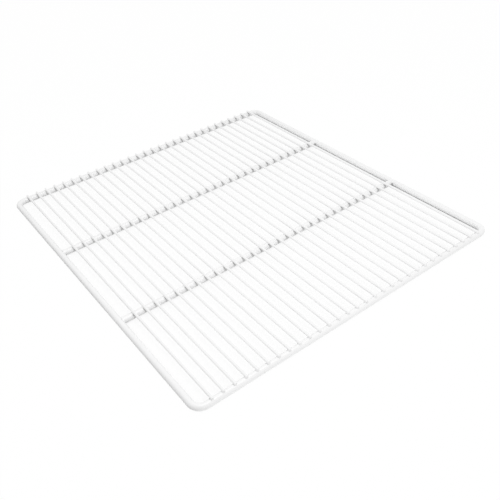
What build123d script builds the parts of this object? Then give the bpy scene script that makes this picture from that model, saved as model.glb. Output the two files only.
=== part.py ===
from build123d import *
import math
import os

# A coated, welded wire shelf of the kind that rests on clips in an upright refrigerator.
# One rod is bent into a rounded rectangle. Two cross bars are welded between its sides, with their
# tops level with the rod's, and a row of thin deck wires is welded across the top of all of them.
#
# Axes: X runs along the front edge, +Y from the front to the back, +Z up.
# Origin: the middle of the shelf, on the plane that its frame lies on.
# Every diameter includes the coating. Lengths are in millimetres.

# Frame rod
shelf_width = 568.0
shelf_depth = 620.0
rod_diameter = 10.4
corner_radius = 15.0

# Cross bars: the distance between their centre lines, and how far their ends are set into the rod
bar_diameter = 10.4
bar_spacing = 208.0
bar_weld_depth = 1.5

# Deck wires: how far the first and last lie from the centre lines of the side rods, and how far every
# wire reaches past those of the front and back rods
wire_diameter = 4.1
wire_count = 30
wire_side_gap = 22.5
wire_overhang = 2.0

# Welds of a deck wire: how much each presses its underside flat, and how far the flat runs on past
# the stretch of wire that the rod would otherwise reach into
weld_depth = 0.35
weld_run_out = 0.4

# Worked out from the sizes above
frame_width = shelf_width - rod_diameter
frame_depth = shelf_depth - rod_diameter
rod_height = rod_diameter / 2
bar_height = rod_diameter - bar_diameter / 2
bar_length = frame_width - rod_diameter + 2 * bar_weld_depth
wire_height = rod_diameter - weld_depth + wire_diameter / 2
wire_length = frame_depth + 2 * wire_overhang
wire_pitch = (frame_width - 2 * wire_side_gap) / (wire_count - 1)

# What a deck wire crosses, from front to back: the place and the diameter of each rod and bar
crossings = [
    (-frame_depth / 2, rod_diameter),
    (-bar_spacing / 2, bar_diameter),
    (bar_spacing / 2, bar_diameter),
    (frame_depth / 2, rod_diameter),
]


def perimeter_frame():
    """The rod's round section, swept once round the rectangle that it is bent to."""
    centre_line = Pos(0, 0, rod_height) * RectangleRounded(frame_width, frame_depth, corner_radius).wire()
    section = (centre_line ^ 0) * Circle(rod_diameter / 2)
    return sweep(section, path=centre_line)


def cross_bar(y, frame):
    """A bar with square-cut ends, shaped to the sides of the rod where the welds sink it in."""
    bar = Pos(0, y, bar_height) * Rot(0, 90, 0) * Cylinder(bar_diameter / 2, bar_length)
    return bar - frame


def weld_flat(y, diameter):
    """The block that a weld to a rod or bar of this diameter takes off the underside of a wire."""
    reach = math.sqrt(weld_depth * (diameter - weld_depth)) + weld_run_out
    return Pos(0, y, -wire_diameter / 2) * Box(wire_diameter, 2 * reach, 2 * weld_depth)


def deck_wire():
    """A straight wire with square-cut ends, pressed flat underneath where it is welded down."""
    wire = Rot(90, 0, 0) * Cylinder(wire_diameter / 2, wire_length)
    return wire - [weld_flat(y, diameter) for y, diameter in crossings]


frame = perimeter_frame()
front_bar = cross_bar(-bar_spacing / 2, frame)
rear_bar = cross_bar(bar_spacing / 2, frame)
wire = deck_wire()

pieces = {
    "perimeter_frame": frame,
    "front_cross_bar": front_bar,
    "rear_cross_bar": rear_bar,
}
for number in range(wire_count):
    x = (number - (wire_count - 1) / 2) * wire_pitch
    pieces[f"deck_wire_{number + 1:02d}"] = Pos(x, 0, wire_height) * wire

os.makedirs("parts", exist_ok=True)
for name, piece in pieces.items():
    export_step(piece, f"parts/{name}.step")
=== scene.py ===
import math

import bmesh
import bpy
from mathutils import Matrix, Vector


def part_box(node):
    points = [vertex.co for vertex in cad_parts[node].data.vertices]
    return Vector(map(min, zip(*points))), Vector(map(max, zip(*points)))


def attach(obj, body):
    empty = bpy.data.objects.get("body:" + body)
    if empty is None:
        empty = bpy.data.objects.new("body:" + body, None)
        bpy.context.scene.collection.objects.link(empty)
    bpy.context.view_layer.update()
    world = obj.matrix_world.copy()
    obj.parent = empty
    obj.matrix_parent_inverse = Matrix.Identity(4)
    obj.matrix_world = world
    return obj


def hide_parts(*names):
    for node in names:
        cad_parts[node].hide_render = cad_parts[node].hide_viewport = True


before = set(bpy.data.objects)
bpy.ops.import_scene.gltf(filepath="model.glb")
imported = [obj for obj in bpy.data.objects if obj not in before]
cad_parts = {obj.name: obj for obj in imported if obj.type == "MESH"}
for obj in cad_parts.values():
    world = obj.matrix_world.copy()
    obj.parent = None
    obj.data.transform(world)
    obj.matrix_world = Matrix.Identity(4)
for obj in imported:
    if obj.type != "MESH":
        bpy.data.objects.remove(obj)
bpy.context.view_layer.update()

# A white coated refrigerator wire shelf: a bent frame rod, two cross bars and a deck of thin wires,
# all modelled as smooth coated bars, with the fillets that the coating leaves at their welds.
# Lengths are in metres. Places and thicknesses come from the frame.

QUARTER_TURN = math.pi / 2

# Fineness of the round pieces, and the sharpest edge that is still shaded as round
ROD_SIDES = 40
BEND_STEPS = 16
WIRE_SIDES = 24
ROUNDING_STEPS = 3
ROD_SMOOTH = math.radians(40)
WIRE_SMOOTH = math.radians(60)

# Points this close are merged, points this near to a place are taken to lie at it, and the number of
# decimals by which the rings of a wire are told apart
MERGE_DISTANCE = 1e-5
SLACK = 2e-5
RING_DECIMALS = 6

# Frame rod: the bend of its centre line at each corner
CORNER_RADIUS = 0.0150

# Cross bars: the rounded rim of a cut end, and the hollow weld collar beside the side rods, as
# distances from the end and how much wider the bar is there
BAR_RIM = 0.0004
COLLAR = ((0.0032, 1.00), (0.0025, 1.02), (0.0020, 1.06), (0.0016, 1.13))

# Deck wires: the rounded rim of a cut end, and the stretch at the end in which no ring is cut
WIRE_RIM = 0.0008
WIRE_END = 1.2 * WIRE_RIM

# Fillet of coating at each weld of a wire: its reach along the wire, the rings on each side of the
# weld, how far and how sharply it flares at its foot, and the topmost row of points that it widens
FILLET_REACH = 0.0028
FILLET_STEPS = 6
FILLET_FLARE = 0.50
FILLET_POWER = 4
FILLET_TOP_ROW = 2

# White coating: the two whites of its clouds, the grey of its painted shade in corners, and its three
# patterns
COATING_WHITES = ((0.895, 0.895, 0.896, 1.0), (0.932, 0.932, 0.933, 1.0))
PAINTED_SHADE_GREY = (0.200, 0.198, 0.195, 1.0)
CLOUDS = {"Scale": 22.0, "Detail": 3.0, "Roughness": 0.55}
RIPPLE = {"Scale": 420.0, "Detail": 1.0, "Roughness": 0.40}
GRAIN = {"Scale": 2400.0, "Detail": 2.0, "Roughness": 0.60}

# Gloss of the coating and of the clear film on it, with what the clouds and the grain add to it
COATING_IOR = 1.5
COATING_ROUGHNESS = 0.26
CLOUDS_ROUGHNESS = 0.10
GRAIN_ROUGHNESS = 0.06
FILM_WEIGHT = 0.15
CLOUDS_WEIGHT = 0.15
FILM_ROUGHNESS = 0.18

# Relief of the coating: its strength and depth, and the shares of ripple and grain in it
RELIEF_STRENGTH = 0.22
RELIEF_DEPTH = 0.0002
RIPPLE_SHARE = 0.8
GRAIN_SHARE = 0.2

# Painted shade in the corners under the wires, where they shade the rods and bars: how strong it is, how
# far it reaches from a wire, where it starts and ends beside the middle of a rod, and how high it lies
PAINTED_SHADE_STRENGTH = 0.50
PAINTED_SHADE_ACROSS = (0.0012, 0.0032)
PAINTED_SHADE_NEAR = (0.0010, 0.0026)
PAINTED_SHADE_FAR = (0.0054, 0.0066)
PAINTED_SHADE_FOOT = (0.0010, 0.0050)
PAINTED_SHADE_TOP = (0.0104, 0.0114)

# Painted shade in the corners between the bars' right ends and the side rod: its reach, and how high it
# lies
PAINTED_END_SHADE_REACH = (0.0020, 0.0036)
PAINTED_END_SHADE_TOP = (0.0060, 0.0080)

# Camera: turned left of the front edge, raised, and rolled a little
CAMERA_TURN = math.radians(-34.415)
CAMERA_RISE = math.radians(37.748)
CAMERA_ROLL = math.radians(4.373)
CAMERA_AIM = Vector((-0.0437, -0.1013, 0.0121))
CAMERA_DISTANCE = 0.9817
CAMERA_SENSOR = 36.0
CAMERA_LENS = 44.507

# Light: one soft lamp overhead, a little to the front, and an even glow from all round. The surround
# itself is seen as white
WHITE = (1.0, 1.0, 1.0, 1.0)
SEEN_LEVEL = 1.00
KEY_PLACE = Vector((-0.05, -0.26, 1.00))
KEY_SIZE = 0.80
KEY_LEVEL = 0.30
GLOW_LEVEL = 0.76

# Floor: white paper. In the light that it throws back it is dim beside the rods and bars, and dark
# left of the shelf, by these shares at the shelf's front and back
FLOOR_SIZE = 12.0
FLOOR_WHITE = 1.00
FLOOR_DIM = 0.40
FLOOR_DARK = 0.00
DARK_SHARES = (0.65, 1.00)
DIM_REACH = (0.0060, 0.0130)
EDGE_FADE = 0.0030

# How much of the shade on the floor shows close to the side rods, between them, and round the shelf,
# and how far from the middle of a side rod it shows in full and ends
SHADE_CLOSE = 1.00
SHADE_BETWEEN = 0.15
SHADE_AROUND = 0.03
CLOSE_FULL = 0.0028
CLOSE_END = 0.0036


class Channel:
    """A value in a node tree. Arithmetic on it adds Math nodes, and make() adds any other node."""

    def __init__(self, tree, socket=None):
        self.tree = tree
        self.socket = socket

    def make(self, kind, settings=None, values=None, output=0):
        node = self.tree.nodes.new(kind)
        for name, setting in (settings or {}).items():
            setattr(node, name, setting)
        for name, value in (values or {}).items():
            self.plug(node.inputs[name], value)
        return Channel(self.tree, node.outputs[output])

    def plug(self, socket, value):
        if isinstance(value, Channel):
            self.tree.links.new(value.socket, socket)
        else:
            socket.default_value = value

    def maths(self, operation, first, second=0.0):
        return self.make("ShaderNodeMath", {"operation": operation}, {0: first, 1: second})

    def __add__(self, other):
        return self.maths("ADD", self, other)

    def __sub__(self, other):
        return self.maths("SUBTRACT", self, other)

    def __rsub__(self, other):
        return self.maths("SUBTRACT", other, self)

    def __mul__(self, other):
        return self.maths("MULTIPLY", self, other)

    __radd__ = __add__
    __rmul__ = __mul__

    def size(self):
        return self.maths("ABSOLUTE", self)

    def squared(self):
        return self.maths("MULTIPLY", self, self)

    def least(self, other):
        return self.maths("MINIMUM", self, other)

    def most(self, other):
        return self.maths("MAXIMUM", self, other)

    def ramp(self, reach, low=0.0, high=1.0):
        """Goes smoothly from low to high while this value goes through the reach."""
        start, end = reach
        return self.make(
            "ShaderNodeMapRange",
            {"interpolation_type": "SMOOTHSTEP"},
            {"Value": self, "From Min": start, "From Max": end, "To Min": low, "To Max": high},
        )

    def parts(self):
        """The three numbers of a place."""
        return [
            self.make("ShaderNodeSeparateXYZ", {}, {"Vector": self}, output=axis)
            for axis in ("X", "Y", "Z")
        ]

    def blend(self, first, second):
        """The colour between two others, with this value as the share of the second."""
        return self.make(
            "ShaderNodeMix",
            {"data_type": "RGBA"},
            {0: self, 6: first, 7: second},
            output=2,
        )

    def layer(self, first, second):
        """The surface between two others, with this value as the share of the second."""
        return self.make("ShaderNodeMixShader", {}, {0: self, 1: first, 2: second})


def new_material(name):
    """An empty material, with a channel of its node tree and the surface socket of its output."""
    material = bpy.data.materials.new(name)
    material.use_nodes = True
    material.node_tree.nodes.clear()
    output = material.node_tree.nodes.new("ShaderNodeOutputMaterial")
    return material, Channel(material.node_tree), output.inputs["Surface"]


def weld_lines():
    """Where along Y each deck wire is welded: the middles of the front rod, the bars and the back rod."""
    low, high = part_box("perimeter_frame")
    radius = (high.z - low.z) / 2
    bars = [
        sum(corner.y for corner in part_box(node)) / 2
        for node in ("front_cross_bar", "rear_cross_bar")
    ]
    return [low.y + radius, *bars, high.y - radius]


def corner_painted_shade(place):
    """How much painted shade darkens the corners under the wires, and at the right ends of the bars."""
    x, y, z = place.parts()
    *_, rear_bar, back_rod = weld_lines()
    off_bar = (y.size() - rear_bar).size()

    first, second = [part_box(node)[0].x for node in ("deck_wire_01", "deck_wire_02")]
    pitch = second - first
    first_middle = sum(corner.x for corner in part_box("deck_wire_01")) / 2
    turns = x.maths("FRACT", (x - first_middle) * (1 / pitch) + 0.5)
    off_wire = (turns - 0.5).size() * pitch
    in_deck = x.maths("LESS_THAN", x.size(), pitch / 2 - first_middle)
    off_rod = off_bar.least(back_rod - y.size())
    along = off_rod.ramp(PAINTED_SHADE_NEAR) - off_rod.ramp(PAINTED_SHADE_FAR)
    height = z.ramp(PAINTED_SHADE_FOOT) - z.ramp(PAINTED_SHADE_TOP)
    # Painted shade: the rods and bars darkened in the corners under each wire, where the wires shade them
    painted_shade_under_wires = (1.0 - off_wire.ramp(PAINTED_SHADE_ACROSS)) * along * height * in_deck

    low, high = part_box("perimeter_frame")
    thickness = high.z - low.z
    off_side = x - (high.x - thickness)
    off_flank = off_bar - thickness / 2
    off_end = x.maths("SQRT", off_side.squared() + off_flank.squared())
    # Painted shade in the corners where the bars' right ends meet the side rod
    painted_shade_at_right_ends = (1.0 - off_end.ramp(PAINTED_END_SHADE_REACH)) * (1.0 - z.ramp(PAINTED_END_SHADE_TOP))
    return painted_shade_under_wires.most(painted_shade_at_right_ends)


def white_coating():
    """Glossy white film on steel, with faint clouds, uneven gloss, a fine ripple and painted shade in
    corners.
    """
    material, tree, surface = new_material("white_coating")
    place = tree.make("ShaderNodeTexCoord", output="Object")
    clouds, ripple, grain = [
        tree.make("ShaderNodeTexNoise", {}, {"Vector": place, **pattern})
        for pattern in (CLOUDS, RIPPLE, GRAIN)
    ]
    white = clouds.blend(*COATING_WHITES)
    # The coating's white, darkened to grey by painted shade in the corners
    white_with_painted_shade = (corner_painted_shade(place) * PAINTED_SHADE_STRENGTH).blend(white, PAINTED_SHADE_GREY)
    relief = tree.make(
        "ShaderNodeBump",
        {},
        {
            "Strength": RELIEF_STRENGTH,
            "Distance": RELIEF_DEPTH,
            "Height": ripple * RIPPLE_SHARE + grain * GRAIN_SHARE,
        },
    )
    coat = tree.make(
        "ShaderNodeBsdfPrincipled",
        {},
        {
            "Base Color": white_with_painted_shade,
            "Roughness": COATING_ROUGHNESS + clouds * CLOUDS_ROUGHNESS + grain * GRAIN_ROUGHNESS,
            "IOR": COATING_IOR,
            "Coat Weight": FILM_WEIGHT + clouds * CLOUDS_WEIGHT,
            "Coat Roughness": FILM_ROUGHNESS,
            "Normal": relief,
        },
    )
    tree.plug(surface, coat)
    return material


def start_piece(name):
    """Names the primitive just added, fixes its place in its mesh and opens it for editing."""
    piece = bpy.context.object
    piece.name = name
    bpy.ops.object.transform_apply(location=True, rotation=True, scale=True)
    bpy.ops.object.mode_set(mode="EDIT")
    return piece


def finish_piece(piece, material, smooth_angle):
    """Closes the piece and turns its faces out, ends the edit, rounds the shading and coats it."""
    bpy.ops.mesh.select_all(action="SELECT")
    bpy.ops.mesh.remove_doubles(threshold=MERGE_DISTANCE)
    bpy.ops.mesh.normals_make_consistent(inside=False)
    bpy.ops.object.mode_set(mode="OBJECT")
    bpy.ops.object.shade_smooth_by_angle(angle=smooth_angle)
    piece.data.materials.clear()
    piece.data.materials.append(material)


def hand_over(piece, node):
    """Lets the piece ride with the shelf and stand in for a node of the frame, whose own mesh is hidden.
    """
    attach(piece, "root")
    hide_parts(node)


def pick_points(piece, wanted):
    """Selects the points that pass the test, with the edges and faces between them."""
    bpy.ops.mesh.select_mode(type="VERT")
    mesh = bmesh.from_edit_mesh(piece.data)
    for point in mesh.verts:
        point.select = wanted(point.co)
    mesh.select_flush_mode()
    bmesh.update_edit_mesh(piece.data)


def cut_rings(places, along):
    """Cuts a ring of edges round the piece at each of these distances along an axis."""
    for place in places:
        bpy.ops.mesh.select_all(action="SELECT")
        bpy.ops.mesh.bisect(plane_co=place * along, plane_no=along)


def frame_rod(material):
    """The rod's round section, drawn along each side and spun round each corner till it meets itself."""
    low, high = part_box("perimeter_frame")
    radius = (high.z - low.z) / 2
    run_x = high.x - radius - CORNER_RADIUS
    run_y = high.y - radius - CORNER_RADIUS
    bpy.ops.object.select_all(action="DESELECT")
    bpy.ops.mesh.primitive_circle_add(
        vertices=ROD_SIDES,
        radius=radius,
        fill_type="NOTHING",
        location=(-run_x, low.y + radius, low.z + radius),
        rotation=(0, QUARTER_TURN, 0),
    )
    piece = start_piece("coated_frame_rod")
    bpy.ops.mesh.select_all(action="SELECT")
    sides = [
        ((2 * run_x, 0, 0), (run_x, -run_y)),
        ((0, 2 * run_y, 0), (run_x, run_y)),
        ((-2 * run_x, 0, 0), (-run_x, run_y)),
        ((0, -2 * run_y, 0), (-run_x, -run_y)),
    ]
    for run, (bend_x, bend_y) in sides:
        bpy.ops.mesh.extrude_region_move(TRANSFORM_OT_translate={"value": run})
        bpy.ops.mesh.spin(
            steps=BEND_STEPS,
            angle=QUARTER_TURN,
            center=(bend_x, bend_y, low.z + radius),
            axis=(0, 0, -1),
        )
    finish_piece(piece, material, ROD_SMOOTH)
    hand_over(piece, "perimeter_frame")


def cross_bar(name, node, material):
    """A round bar with softened rims at its cut ends, and a collar where each end is welded in."""
    low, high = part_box(node)
    middle = (low + high) / 2
    bpy.ops.object.select_all(action="DESELECT")
    bpy.ops.mesh.primitive_cylinder_add(
        vertices=ROD_SIDES,
        radius=(high.z - low.z) / 2,
        depth=high.x - low.x,
        location=middle,
        rotation=(0, QUARTER_TURN, 0),
    )
    piece = start_piece(name)
    rings = [side * (high.x - distance) for distance, _ in COLLAR for side in (-1, 1)]
    cut_rings(rings, Vector((1, 0, 0)))
    pick_points(piece, lambda point: abs(point.x) > high.x - SLACK)
    bpy.ops.mesh.bevel(offset=BAR_RIM, segments=ROUNDING_STEPS, affect="EDGES")
    for distance, spread in COLLAR:
        pick_points(piece, lambda point: abs(abs(point.x) - high.x + distance) < SLACK)
        bpy.ops.transform.resize(value=(1, spread, 1), center_override=middle)
    end_spread = COLLAR[-1][1]
    pick_points(piece, lambda point: abs(point.x) > high.x - BAR_RIM - SLACK)
    bpy.ops.transform.resize(value=(1, end_spread, 1), center_override=middle)
    finish_piece(piece, material, ROD_SMOOTH)
    hand_over(piece, node)


def below(place, slope):
    """Whether a point of a wire lies at this angle below the sides of the wire."""
    return abs(math.atan2(-place.z, abs(place.x)) - slope) < QUARTER_TURN / WIRE_SIDES


def fillet_share(y):
    """How full the fillet of the nearest weld is at this place along a wire, from nought to one."""
    distance = min(abs(y - line) for line in weld_lines())
    return math.cos(QUARTER_TURN * min(1, distance / FILLET_REACH)) ** 2


def pattern_wire(material):
    """One deck wire on the middle line, with rounded ends and a fillet under it at each weld."""
    low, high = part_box("deck_wire_01")
    radius = (high.x - low.x) / 2
    middle = Vector((0, (low.y + high.y) / 2, high.z - radius))
    bpy.ops.object.select_all(action="DESELECT")
    bpy.ops.mesh.primitive_cylinder_add(
        vertices=WIRE_SIDES,
        radius=radius,
        depth=high.y - low.y,
        location=middle,
        rotation=(QUARTER_TURN, 0, 0),
    )
    piece = start_piece("pattern_wire")
    steps = range(-FILLET_STEPS, FILLET_STEPS + 1)
    places = [line + FILLET_REACH * step / FILLET_STEPS for line in weld_lines() for step in steps]
    cut_rings([place for place in places if abs(place) < high.y - WIRE_END], Vector((0, 1, 0)))
    pick_points(piece, lambda point: abs(point.y) > high.y - SLACK)
    bpy.ops.mesh.bevel(offset=WIRE_RIM, segments=ROUNDING_STEPS, affect="EDGES")
    points = bmesh.from_edit_mesh(piece.data).verts
    rings = {round(point.co.y, RING_DECIMALS) for point in points}
    for ring in sorted(rings):
        share = fillet_share(ring)
        for row in range(FILLET_TOP_ROW, WIRE_SIDES // 4):
            slope = 2 * math.pi * row / WIRE_SIDES
            full = (1 + FILLET_FLARE * math.sin(slope) ** FILLET_POWER) / math.cos(slope)
            pick_points(
                piece,
                lambda point: abs(point.y - ring) < SLACK and below(point - middle, slope),
            )
            bpy.ops.transform.resize(value=(1 + share * (full - 1), 1, 1), center_override=middle)
    finish_piece(piece, material, WIRE_SMOOTH)
    return piece


def deck_wires(material):
    """The pattern wire, copied to the place of every deck wire in the frame."""
    pattern = pattern_wire(material)
    for node in sorted(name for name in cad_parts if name.startswith("deck_wire")):
        low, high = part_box(node)
        bpy.ops.object.select_all(action="DESELECT")
        pattern.select_set(True)
        bpy.context.view_layer.objects.active = pattern
        bpy.ops.object.duplicate()
        wire = bpy.context.object
        wire.name = node.replace("deck", "coated")
        wire.location.x = (low.x + high.x) / 2
        bpy.ops.object.transform_apply(location=True, rotation=True, scale=True)
        hand_over(wire, node)
    bpy.data.objects.remove(pattern)


def seen_directly(tree):
    """One where the camera, a reflection or a clear body looks, and nought where light is gathered."""
    camera, glossy, clear = [
        tree.make("ShaderNodeLightPath", output=name)
        for name in ("Is Camera Ray", "Is Glossy Ray", "Is Transmission Ray")
    ]
    return (camera + glossy + clear).least(1.0)


def floor_paper():
    """White paper, burnt out to white but for the shade by the side rods and a little between them."""
    material, tree, surface = new_material("floor_paper")
    x, y, _ = tree.make("ShaderNodeTexCoord", output="Object").parts()
    dark, dim, sheet = [
        tree.make("ShaderNodeBsdfDiffuse", {}, {"Color": (level, level, level, 1.0)})
        for level in (FLOOR_DARK, FLOOR_DIM, FLOOR_WHITE)
    ]

    # How far a place lies outside the middle line of the frame rod, and from that of a bar
    low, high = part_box("perimeter_frame")
    radius = (high.z - low.z) / 2
    past_side = x.size() - (high.x - radius - CORNER_RADIUS)
    past_end = y.size() - (high.y - radius - CORNER_RADIUS)
    round_corner = tree.maths("SQRT", past_side.most(0.0).squared() + past_end.most(0.0).squared())
    past_frame = round_corner + past_side.most(past_end).least(0.0) - CORNER_RADIUS
    rear_bar = weld_lines()[2]
    off_bar = (y.size() - rear_bar).size()

    # What is seen of the paper: its shade by the side rods, and white elsewhere
    off_side = past_frame.size() + past_end.ramp((0.0, CORNER_RADIUS), 0.0, CLOSE_END)
    inside = off_side.ramp((CLOSE_FULL, CLOSE_END), SHADE_CLOSE, SHADE_BETWEEN)
    shade = past_frame.ramp((0.0, EDGE_FADE), inside, SHADE_AROUND)
    burnt_out = tree.make("ShaderNodeEmission", {}, {"Strength": SEEN_LEVEL})
    shown = shade.layer(burnt_out, sheet)

    # The light that it throws back: less from the left, and beside the rods and bars
    at_left = 1.0 - x.ramp((low.x - EDGE_FADE, low.x))
    around = (at_left * y.ramp((low.y, high.y), *DARK_SHARES)).layer(sheet, dark)
    beside_rods = 1.0 - past_frame.size().least(off_bar).ramp(DIM_REACH)
    within_frame = 1.0 - past_frame.ramp((0.0, EDGE_FADE))
    thrown_back = (beside_rods * within_frame).layer(around, dim)

    tree.plug(surface, seen_directly(tree).layer(thrown_back, shown))
    material.cycles.emission_sampling = "NONE"
    return material


def studio():
    """The floor, the white surround and the lamp."""
    bpy.ops.object.select_all(action="DESELECT")
    bpy.ops.mesh.primitive_plane_add(size=FLOOR_SIZE)
    floor = bpy.context.object
    floor.name = "studio_floor"
    floor.data.materials.append(floor_paper())

    world = bpy.data.worlds.new("studio_surround")
    bpy.context.scene.world = world
    world.use_nodes = True
    world.node_tree.nodes.clear()
    tree = Channel(world.node_tree)
    seen, glow = [
        tree.make("ShaderNodeBackground", {}, {"Color": WHITE, "Strength": level})
        for level in (SEEN_LEVEL, GLOW_LEVEL)
    ]
    output = world.node_tree.nodes.new("ShaderNodeOutputWorld")
    tree.plug(output.inputs["Surface"], seen_directly(tree).layer(glow, seen))

    # The lamp's power is the one at which white paper in the middle of the floor shows its level
    lamp = bpy.data.objects.new("key_lamp", bpy.data.lights.new("key_lamp", "AREA"))
    bpy.context.collection.objects.link(lamp)
    lamp.data.shape = "DISK"
    lamp.data.size = KEY_SIZE
    lamp.data.energy = KEY_LEVEL * math.pi ** 2 * KEY_PLACE.length ** 3 / KEY_PLACE.z
    lamp.location = KEY_PLACE
    lamp.rotation_euler = KEY_PLACE.to_track_quat("Z", "Y").to_euler()


def photo_camera():
    """The camera, where the photograph was taken from."""
    camera = bpy.data.objects.new("photo_camera", bpy.data.cameras.new("photo_camera"))
    bpy.context.collection.objects.link(camera)
    camera.data.sensor_width = CAMERA_SENSOR
    camera.data.lens = CAMERA_LENS
    turn = (
        Matrix.Rotation(CAMERA_TURN, 4, "Z")
        @ Matrix.Rotation(QUARTER_TURN - CAMERA_RISE, 4, "X")
        @ Matrix.Rotation(-CAMERA_ROLL, 4, "Z")
    )
    back_off = Matrix.Translation((0, 0, CAMERA_DISTANCE))
    camera.matrix_world = Matrix.Translation(CAMERA_AIM) @ turn @ back_off
    bpy.context.scene.camera = camera


coating = white_coating()
frame_rod(coating)
cross_bar("coated_front_bar", "front_cross_bar", coating)
cross_bar("coated_rear_bar", "rear_cross_bar", coating)
deck_wires(coating)
studio()
photo_camera()
bpy.context.scene.view_settings.view_transform = "Standard"
